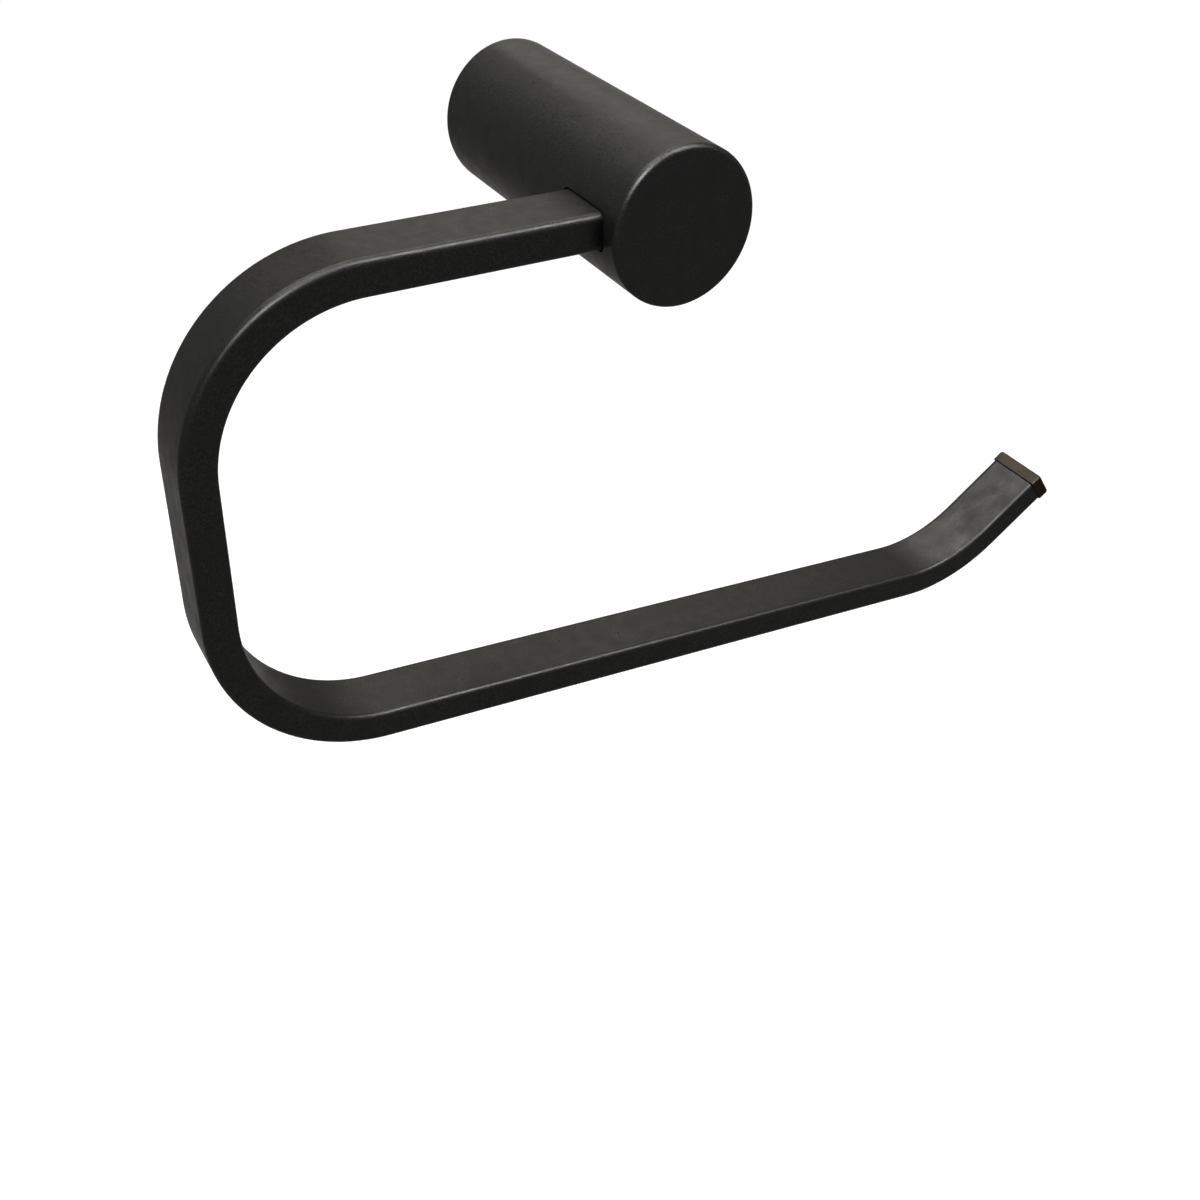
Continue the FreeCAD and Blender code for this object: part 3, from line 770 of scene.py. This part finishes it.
@dataclass(frozen=True)
class RingTube:
    """The bent rectangular tube: arm, upper bend, upright, lower bend, rail and upturned tip."""

    plane: float
    width: float
    thickness: float
    start: float = 11 * MM
    arm: float = 63.8 * MM
    upright: float = 32.8 * MM
    rail: float = 153.9 * MM
    tip: float = 17.9 * MM
    bend_radius: float = 36 * MM
    tip_radius: float = 38 * MM
    bend_angle: float = math.radians(87.7)
    tip_angle: float = math.radians(42.4)
    gauge: float = 1.5 * MM
    corner_radius: float = 1.5 * MM
    end_rounding: float = 0.25 * MM
    end_edge_angle: float = math.radians(60)
    end_tolerance: float = 0.01 * MM
    bend_steps: int = 48
    corner_steps: int = 8

    @property
    def headings(self) -> list[float]:
        """Direction of each straight, from +X towards +Z."""
        upright = math.pi + self.bend_angle
        rail = upright + self.bend_angle
        return [math.pi, upright, rail, rail + self.tip_angle]

    def corners(self) -> Ring:
        """Where the centreline's straights would meet if its bends were sharp.

        Returns:
            The two ends and the three corners between them.
        """
        bend = self.bend_radius * math.tan(self.bend_angle / 2)
        tip_bend = self.tip_radius * math.tan(self.tip_angle / 2)
        runs = (
            self.arm - self.start + bend,
            bend + self.upright + bend,
            bend + self.rail + tip_bend,
            tip_bend + self.tip,
        )
        points = [Vector((-self.start, self.plane, 0))]
        for heading, run in zip(self.headings, runs):
            points.append(points[-1] + run * Vector((math.cos(heading), 0, math.sin(heading))))
        return points

    def end_frame(self) -> Matrix:
        """Where the tube ends: local X runs out of the tip, local Y into the wall."""
        return Matrix.Translation(self.corners()[-1]) @ Matrix.Rotation(-self.headings[-1], 4, "Y")

    def path(self, tree: GeometryTree) -> Socket:
        """Rounds the line of corners, the last of them with the tip's own radius.

        Args:
            tree: the tube's tree.

        Returns:
            The centreline.
        """
        given = tree.given
        corners = {2: tree.value("GeometryNodeInputIndex"), 3: len(self.headings) - 1}
        at_tip = tree.value("FunctionNodeCompare", corners, data_type="INT", operation="EQUAL")
        choice = {"Switch": at_tip, "False": given["Bend radius"], "True": given["Tip radius"]}
        radius = tree.value("GeometryNodeSwitch", choice, input_type="FLOAT")
        line = tree.value("GeometryNodeMeshToCurve", {0: given["Geometry"]})
        rounding = {"Curve": line, "Count": given["Bend steps"], "Radius": radius}
        return tree.value("GeometryNodeFilletCurve", rounding, mode="POLY")

    @staticmethod
    def sections(tree: GeometryTree) -> tuple[Socket, Socket]:
        """Draws the tube's section.

        Args:
            tree: the tube's tree.

        Returns:
            Its outside, with round corners, and its bore.
        """
        given = tree.given
        sharp = {"Width": given["Width"], "Height": given["Thickness"]}
        rounding = {
            "Curve": tree.value("GeometryNodeCurvePrimitiveQuadrilateral", sharp),
            "Count": given["Corner steps"],
            "Radius": given["Corner radius"],
        }
        walls = tree.math("MULTIPLY", given["Gauge"], 2.0)
        bore = {side: tree.math("SUBTRACT", size, walls) for side, size in sharp.items()}
        outer = tree.value("GeometryNodeFilletCurve", rounding, mode="POLY")
        return outer, tree.value("GeometryNodeCurvePrimitiveQuadrilateral", bore)

    def tree(self) -> GeometryTree:
        """The bending rule: round the corners of a line, and carry the tube's section along it.

        Returns:
            The tree, to run on the line of corners.
        """
        sizes = {
            "Bend radius": self.bend_radius,
            "Tip radius": self.tip_radius,
            "Bend steps": float(self.bend_steps),
            "Width": self.width,
            "Thickness": self.thickness,
            "Gauge": self.gauge,
            "Corner radius": self.corner_radius,
            "Corner steps": float(self.corner_steps),
        }
        tree = GeometryTree("BentTube", sizes)
        path = self.path(tree)
        sections = self.sections(tree)
        outside, bore = (
            tree.value("GeometryNodeCurveToMesh", {"Curve": path, "Profile Curve": section})
            for section in sections
        )
        bore = tree.value("GeometryNodeFlipFaces", {0: bore})
        rim = tree.value("GeometryNodeFillCurve", {0: tree.join(sections)}, mode="TRIANGLES")
        directions = {0: tree.value("GeometryNodeInputTangent"), 1: tree.value("GeometryNodeInputNormal")}
        facing = tree.value("FunctionNodeAxesToRotation", directions, primary_axis="Z", secondary_axis="X")
        rims = []
        for faces, first, last in ((tree.value("GeometryNodeFlipFaces", {0: rim}), 1, 0), (rim, 0, 1)):
            end = tree.value("GeometryNodeCurveEndpointSelection", {"Start Size": first, "End Size": last})
            placing = {"Points": path, "Selection": end, "Instance": faces, "Rotation": facing}
            rims.append(tree.value("GeometryNodeInstanceOnPoints", placing))
        real = tree.value("GeometryNodeRealizeInstances", {0: tree.join([*rims, outside, bore])})
        tree.close(tree.value("GeometryNodeMergeByDistance", {"Geometry": real, "Distance": MERGE}))
        return tree

    def break_end(self, tube: Piece) -> None:
        """Breaks the outer edge of the tube's open end, which leaves a fine groove under the cap.

        Args:
            tube: the bent tube.
        """
        to_end = self.end_frame().inverted()
        middle = self.gauge / 2

        def on_outer_rim(corner: bmesh.types.BMVert) -> bool:
            """Tells the outside of the open end from the rest of the tube.

            Args:
                corner: a corner of the mesh.

            Returns:
                Whether it lies there.
            """
            local = to_end @ corner.co
            in_bore = abs(local.y) < self.width / 2 - middle and abs(local.z) < self.thickness / 2 - middle
            return abs(local.x) < self.end_tolerance and not in_bore

        with edited(tube.data) as shape:
            edges = [
                edge
                for edge in shape.edges
                if all(map(on_outer_rim, edge.verts)) and edge.calc_face_angle(0.0) > self.end_edge_angle
            ]
            bmesh.ops.bevel(
                shape, geom=edges, offset=self.end_rounding, segments=2, affect="EDGES", profile=0.5
            )

    def build(self) -> None:
        """Bends the tube, rounds its end and paints it."""
        points = self.corners()
        line = bpy.data.meshes.new("centreline")
        line.from_pydata(points, [(step, step + 1) for step in range(len(points) - 1)], [])
        tube = new_piece("ring_bent_tube", line)
        finish = RING_COAT.build()
        self.tree().apply(tube, finish)
        self.break_end(tube)
        dress(tube, finish, "ring_tube")


@dataclass(frozen=True)
class EndCap:
    """The moulded cap in the tube's open end: a flange with worn edges and a hollow ribbed plug."""

    place: Matrix
    tube_width: float
    tube_thickness: float
    gauge: float
    flange: float = 3.3 * MM
    overhang: float = 0.2 * MM
    edge_radius: float = 0.85 * MM
    edge_steps: int = 6
    corner_radius: float = 0.9 * MM
    least_corner: float = 0.05 * MM
    back_rounding: float = 0.25 * MM
    back_steps: int = 4
    plug_length: float = 11 * MM
    plug_gap: float = 0.3 * MM
    plug_wall: float = 0.9 * MM
    plug_corner: float = 0.5 * MM
    plug_nose: float = 0.3 * MM
    hollow_corner: float = 0.1 * MM
    hollow_floor: float = 0.1 * MM
    rib_gap: float = 0.05 * MM
    rib_width: float = 0.8 * MM
    rib_pitch: float = 3.6 * MM
    rib_lead: float = 2 * MM
    rib_root: float = 0.3 * MM
    ribs: int = 3

    def section(self, along: float, inset: float, corner: float) -> Ring:
        """A rounded rectangle across the cap, at a distance out of the tube and an inset from its outside."""
        outline = rounded_rectangle(self.tube_width / 2 - inset, self.tube_thickness / 2 - inset, corner)
        return [self.place @ Vector((along, point.x, point.y)) for point in outline]

    def flange_sections(self) -> list[Ring]:
        """The flange's rounded outside, from the tube outwards.

        Returns:
            Its sections in order.
        """
        back, edge = self.back_rounding, self.edge_radius
        rows = [(back * (1 - math.cos(turn)), back * (1 - math.sin(turn))) for turn in quarter(self.back_steps)]
        rows += [
            (self.flange - edge + edge * math.sin(turn), edge * (1 - math.cos(turn)))
            for turn in quarter(self.edge_steps)
        ]
        return [
            self.section(along, inset - self.overhang, max(self.corner_radius - inset, self.least_corner))
            for along, inset in rows
        ]

    def plug_sections(self) -> list[Ring]:
        """The hollow plug, from the bottom of its hollow out over its nose and back to the flange.

        Returns:
            Its sections in order.
        """
        outside = self.gauge + self.plug_gap
        inside = outside + self.plug_wall
        return [
            self.section(-self.hollow_floor, inside, self.hollow_corner),
            self.section(-self.plug_length, inside, self.hollow_corner),
            self.section(-self.plug_length, outside + self.plug_nose, self.plug_corner),
            self.section(-self.plug_length + self.plug_nose, outside, self.plug_corner),
            self.section(0, outside, self.plug_corner),
        ]

    def rib_tree(self) -> GeometryTree:
        """The rule that sets ribs side by side along both flat sides of the plug.

        Returns:
            The tree, to run on an empty mesh at the tube's end.
        """
        height = self.plug_gap - self.rib_gap + self.rib_root
        length = self.plug_length - self.rib_lead + self.rib_root
        sizes = {
            "Count": float(self.ribs),
            "Pitch": self.rib_pitch,
            "Width": self.rib_width,
            "Height": height,
            "Length": length,
            "Middle": self.rib_root - length / 2,
            "Level": self.tube_thickness / 2 - self.gauge - self.rib_gap - height / 2,
        }
        tree = GeometryTree("GripRibs", sizes)
        given = tree.given
        bar = tree.value("ShaderNodeCombineXYZ", {0: given["Length"], 1: given["Width"], 2: given["Height"]})
        span = tree.math("MULTIPLY", given["Pitch"], tree.math("SUBTRACT", given["Count"], 1.0))
        start = {0: given["Middle"], 1: tree.math("MULTIPLY", span, -0.5)}
        line = {
            "Count": given["Count"],
            "Start Location": tree.value("ShaderNodeCombineXYZ", start),
            "Offset": tree.value("ShaderNodeCombineXYZ", {1: given["Pitch"]}),
        }
        placing = {
            "Points": tree.value("GeometryNodeMeshLine", line),
            "Instance": tree.value("GeometryNodeMeshCube", {"Size": bar}),
        }
        row = tree.value("GeometryNodeInstanceOnPoints", placing)
        rows = []
        for side in (-1.0, 1.0):
            shift = tree.value("ShaderNodeCombineXYZ", {2: tree.math("MULTIPLY", given["Level"], side)})
            rows.append(tree.value("GeometryNodeTransform", {"Geometry": row, "Translation": shift}))
        tree.close(tree.join(rows))
        return tree

    def build(self) -> None:
        """Moulds the cap and fuses its ribs on."""
        cap = new_piece("tip_end_cap", mesh_from([*self.plug_sections(), *self.flange_sections()]))
        finish = CAP_PLASTIC.build()
        ribs = new_piece("rib_seed", bpy.data.meshes.new("rib_seed"))
        self.rib_tree().apply(ribs, finish)
        ribs.data.transform(self.place)
        combine(cap, [ribs], Combining.FUSE)
        dress(cap, finish, "end_cap")


@dataclass(frozen=True)
class WallBracket:
    """The turned disc on the wall, undercut behind its rim, with two countersunk screw holes."""

    radius: float
    depth: float
    undercut: float = 1.8 * MM
    foot: float = 6 * MM
    chamfer: float = 0.6 * MM
    deburring: float = 0.15 * MM
    hole_spacing: float = 11.4 * MM
    hole_radius: float = 2.15 * MM
    hole_segments: int = 64
    countersink_radius: float = 3.9 * MM
    segments: int = 192

    def build(self) -> None:
        """Turns the disc and drills it."""
        neck = self.radius - self.undercut
        sharp = [
            (0, 0),
            (neck, 0),
            (neck, self.foot),
            (self.radius, self.foot + self.undercut),
            (self.radius, self.depth - self.chamfer),
            (self.radius - self.chamfer, self.depth),
            (0, self.depth),
        ]
        disc = new_piece("wall_bracket_disc", turned(softened(sharp, self.deburring), self.segments, OFF_WALL))
        hole = [
            (0, -CUTTER_SPARE),
            (self.hole_radius, -CUTTER_SPARE),
            (self.hole_radius, self.depth - (self.countersink_radius - self.hole_radius)),
            (self.countersink_radius, self.depth),
            (self.countersink_radius, self.depth + CUTTER_SPARE),
            (0, self.depth + CUTTER_SPARE),
        ]
        places = [Vector((side * self.hole_spacing / 2, 0, 0)) for side in (-1, 1)]
        drills = [new_piece("drill", turned(hole, self.hole_segments, OFF_WALL, place)) for place in places]
        combine(disc, drills, Combining.CUT)
        dress(disc, ZINC_PLATE.build(), "wall_bracket")


@dataclass(frozen=True)
class Thread:
    """A metric thread as a radius that follows the turn round the shank."""

    radius: float
    pitch: float = 0.8 * MM
    depth_in_pitches: float = 0.6134
    flank_slope: float = 2.6
    crest_flat: float = 0.15
    run_out: float = 0.5
    run_out_fall: float = 0.6

    @property
    def depth(self) -> float:
        """Depth of the groove, from crest to root."""
        return self.depth_in_pitches * self.pitch

    def at(self, turn: float, along: float, length: float) -> float:
        """Radius of the shank at one point.

        Args:
            turn: share of a full turn round the shank.
            along: distance from the start of the thread.
            length: length of the thread.

        Returns:
            The radius; the crest falls off at both ends.
        """
        phase = (along / self.pitch - turn) % 1
        groove = min(1.0, max(0.0, self.flank_slope * abs(phase - 0.5) - self.crest_flat))
        full = min(1.0, along / (self.run_out * self.pitch), (length - along) / (self.run_out * self.pitch))
        crest = self.radius - self.depth * (1 - max(0.0, full)) * self.run_out_fall
        return min(crest, self.radius - self.depth * groove)


@dataclass(frozen=True)
class GrubScrew:
    """The set screw under the post: thread, cone point and hexagon socket, from its point to its end."""

    place: Matrix
    point: float
    end: float
    thread: Thread
    across_flats: float = 2.5 * MM
    socket_depth: float = 2 * MM
    socket_chamfer: float = 0.12 * MM
    drill_angle: float = math.radians(30)
    drill_share: float = 0.98
    flat: float = 0.5 * MM
    end_chamfer: float = 0.3 * MM
    end_rounding: float = 0.06 * MM
    face_step: float = 0.1 * MM
    sides: int = 72
    rings_per_turn: int = 14

    def ring(self, radius: Callable[[float], float] | float, along: float) -> Ring:
        """A ring of points round the screw, as circle gives it."""
        return circle(self.place, radius, along, self.sides)

    def pole(self, along: float) -> Ring:
        """The point of the screw's axis at a distance along it."""
        return [self.place @ Vector((0, 0, along))]

    def hexagon(self, share: float) -> float:
        """The rule for the hexagon socket.

        Args:
            share: share of a full turn.

        Returns:
            Its radius there.
        """
        sixth = math.tau / 6
        off_flat = (share * math.tau) % sixth - sixth / 2
        return self.across_flats / 2 / math.cos(off_flat)

    def threaded(self, start: float, end: float) -> list[Ring]:
        """The rings of the threaded length.

        Args:
            start: where it starts along the axis.
            end: where it ends.

        Returns:
            The rings in order, without the first.
        """
        length = end - start
        count = round(length / self.thread.pitch * self.rings_per_turn)
        levels = [length * step / count for step in range(1, count + 1)]
        return [
            self.ring(lambda share, level=level: self.thread.at(share, level, length), start + level)
            for level in levels
        ]

    def socket(self, rim: float) -> list[Ring]:
        """The end face and the hexagon socket in it.

        Args:
            rim: radius at which the end face starts.

        Returns:
            The rings from the face's rim to the socket's centre.
        """
        chamfer, inscribed = self.socket_chamfer, self.across_flats / 2
        floor = self.end - self.socket_depth
        return [
            self.ring(rim, self.end),
            self.ring(self.across_flats / math.sqrt(3) + 2 * chamfer, self.end),
            self.ring(lambda share: self.hexagon(share) + chamfer, self.end),
            self.ring(self.hexagon, self.end - chamfer),
            self.ring(self.hexagon, floor),
            self.ring(inscribed * self.drill_share, floor),
            self.pole(floor - inscribed * math.tan(self.drill_angle)),
        ]

    def build(self) -> None:
        """Cuts the screw."""
        root = self.thread.radius - self.thread.depth
        shoulder = self.point + root - self.flat
        rings = [
            self.pole(self.point),
            self.ring(self.flat, self.point),
            self.ring(root, shoulder),
            *self.threaded(shoulder, self.end - self.end_chamfer),
            self.ring(root, self.end - self.end_rounding),
            *self.socket(root - self.face_step),
        ]
        screw = new_piece("post_grub_screw", mesh_from(rings))
        dress(screw, BLACK_OXIDE.build(), "grub_screw")


# ---- studio


@dataclass(frozen=True)
class Softbox:
    """A rectangular lamp that faces the ring, its long side level."""

    name: str
    place: Place
    width: float
    height: float
    radiance: float
    tint: Colour = WHITE
    only_gloss: bool = False
    target: Place = (0.0, -0.06, -0.05)

    def build(self) -> None:
        """Hangs the lamp."""
        lamp = bpy.data.lights.new(self.name, "AREA")
        lamp.shape = "RECTANGLE"
        lamp.size = self.width
        lamp.size_y = self.height
        lamp.energy = self.radiance * math.pi * self.width * self.height
        lamp.color = self.tint
        holder = bpy.data.objects.new(self.name, lamp)
        holder.location = self.place
        holder.visible_diffuse = not self.only_gloss
        aim = Vector(self.target) - Vector(self.place)
        holder.rotation_euler = aim.to_track_quat("-Z", "Y").to_euler()
        bpy.context.scene.collection.objects.link(holder)


# Three lamps light the coat itself. Those that only show in gloss draw the lines of light along the edges
# and the sheen on the flat sides. The pair behind is slightly warm.
LAMPS = (
    Softbox("overhead", (0.07, 0.2, 1.25), 1.0, 1.0, 5.0),
    Softbox("left_above", (-0.6, 0.45, 1.0), 0.8, 0.8, 3.0),
    Softbox("above_gloss", (-0.25, -0.2, 1.15), 0.7, 0.4, 26.0, only_gloss=True),
    Softbox("strip_in_front", (0.1, -0.68, 1.08), 1.5, 0.2, 19.0, only_gloss=True),
    Softbox("front_right", (0.5, -0.5, 1.1), 0.45, 0.6, 50.0, only_gloss=True),
    Softbox("front_left", (-0.5, -0.8, 0.75), 0.42, 0.42, 80.0, only_gloss=True),
    Softbox("behind_right", (0.55, 0.92, 0.58), 0.7, 0.5, 4.0, WARM),
    Softbox("behind_above", (0.08, 0.74, 1.1), 1.4, 0.3, 22.0, WARM, only_gloss=True),
)


@dataclass(frozen=True)
class Studio:
    """A pale floor, a white surround, soft lamps and the photograph's camera."""

    lamps: tuple[Softbox, ...] = LAMPS
    floor_level: float = -0.42
    floor_reach: float = 12.0
    floor_colour: Colour = (0.6, 0.6, 0.6)
    floor_glow: float = 0.6
    white_from: float = 0.5
    white_at: float = 1.4
    fill: float = 0.15
    camera_place: Place = (-0.143455, -0.293655, 0.102114)
    yaw: float = math.radians(30.413)
    pitch: float = math.radians(-40.669)
    roll: float = math.radians(1.758)
    lens: float = 40.756
    sensor: float = 36.0
    rise: float = 100 / 1200
    near_clip: float = 0.01

    def build_floor(self) -> None:
        """A pale floor that the camera and reflections see as nearly white, and that keeps a shadow."""
        sides = ((-1, -1), (1, -1), (1, 1), (-1, 1))
        corners = [(x * self.floor_reach, y * self.floor_reach, self.floor_level) for x, y in sides]
        mesh = bpy.data.meshes.new("floor")
        mesh.from_pydata(corners, [], [(0, 1, 2, 3)])
        floor = new_piece("floor", mesh)
        material = bpy.data.materials.new("floor_pale")
        graph = ShaderGraph(material)
        paint = graph.value("ShaderNodeBsdfDiffuse", {"Color": self.floor_colour})
        glow = graph.value("ShaderNodeEmission", {"Strength": self.floor_glow})
        near = graph.value("ShaderNodeAddShader", {0: paint, 1: glow})
        white = graph.value("ShaderNodeEmission", {"Strength": 1.0})
        reach = {"Value": graph.length(graph.place()), "From Min": self.white_from, "From Max": self.white_at}
        away = graph.value("ShaderNodeMapRange", reach, interpolation_type="SMOOTHSTEP")
        shown = graph.value("ShaderNodeMixShader", {0: away, 1: near, 2: white})
        mixed = graph.value("ShaderNodeMixShader", {0: graph.seen(), 1: paint, 2: shown})
        graph.add("ShaderNodeOutputMaterial", {"Surface": mixed})
        mesh.materials.append(material)

    def build_surround(self) -> None:
        """A white surround that lights the ring only softly."""
        world = bpy.data.worlds.new("surround")
        graph = ShaderGraph(world)
        dim, white = (
            graph.value("ShaderNodeBackground", {"Color": WHITE, "Strength": strength})
            for strength in (self.fill, 1.0)
        )
        mixed = graph.value("ShaderNodeMixShader", {0: graph.seen(), 1: dim, 2: white})
        graph.add("ShaderNodeOutputWorld", {"Surface": mixed})
        bpy.context.scene.world = world

    def build_camera(self) -> None:
        """The camera of the photograph."""
        data = bpy.data.cameras.new("camera")
        data.lens = self.lens
        data.sensor_width = self.sensor
        data.sensor_fit = "HORIZONTAL"
        data.shift_y = self.rise
        data.clip_start = self.near_clip
        camera = bpy.data.objects.new("camera", data)
        level = Matrix.Rotation(-self.yaw, 4, "Z") @ Matrix.Rotation(math.pi / 2 + self.pitch, 4, "X")
        turn = level @ Matrix.Rotation(self.roll, 4, "Z")
        camera.matrix_world = Matrix.Translation(self.camera_place) @ turn
        bpy.context.scene.collection.objects.link(camera)
        bpy.context.scene.camera = camera

    def build(self) -> None:
        """Sets the whole studio up."""
        self.build_floor()
        self.build_surround()
        self.build_camera()
        for lamp in self.lamps:
            lamp.build()
        bpy.context.scene.view_settings.view_transform = "Standard"


def main() -> None:
    """Builds every piece, then the studio."""
    logging.basicConfig(level=logging.INFO, format="%(name)s %(message)s")
    post_low, post_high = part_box("post")
    tube_low, tube_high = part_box("ring_tube")
    plane = (tube_low.y + tube_high.y) / 2
    width = tube_high.y - tube_low.y
    thickness = 2 * tube_high.z
    WallPost(post_high.x, -post_low.y, plane, width, thickness).build()
    ring = RingTube(plane, width, thickness)
    ring.build()
    EndCap(ring.end_frame(), width, thickness, ring.gauge).build()
    bracket_low, bracket_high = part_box("wall_bracket")
    WallBracket(bracket_high.x, -bracket_low.y).build()
    grub_low, grub_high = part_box("grub_screw")
    grub_place = along_axis(DOWN, Vector((0, (grub_low.y + grub_high.y) / 2, 0)))
    GrubScrew(grub_place, -grub_high.z, -grub_low.z, Thread(grub_high.x)).build()
    hidden = BRIGHT_STEEL.build()
    for node in HIDDEN_FIXINGS:
        dress_node(node, hidden)
    Studio().build()


if __name__ == "__main__":
    main()
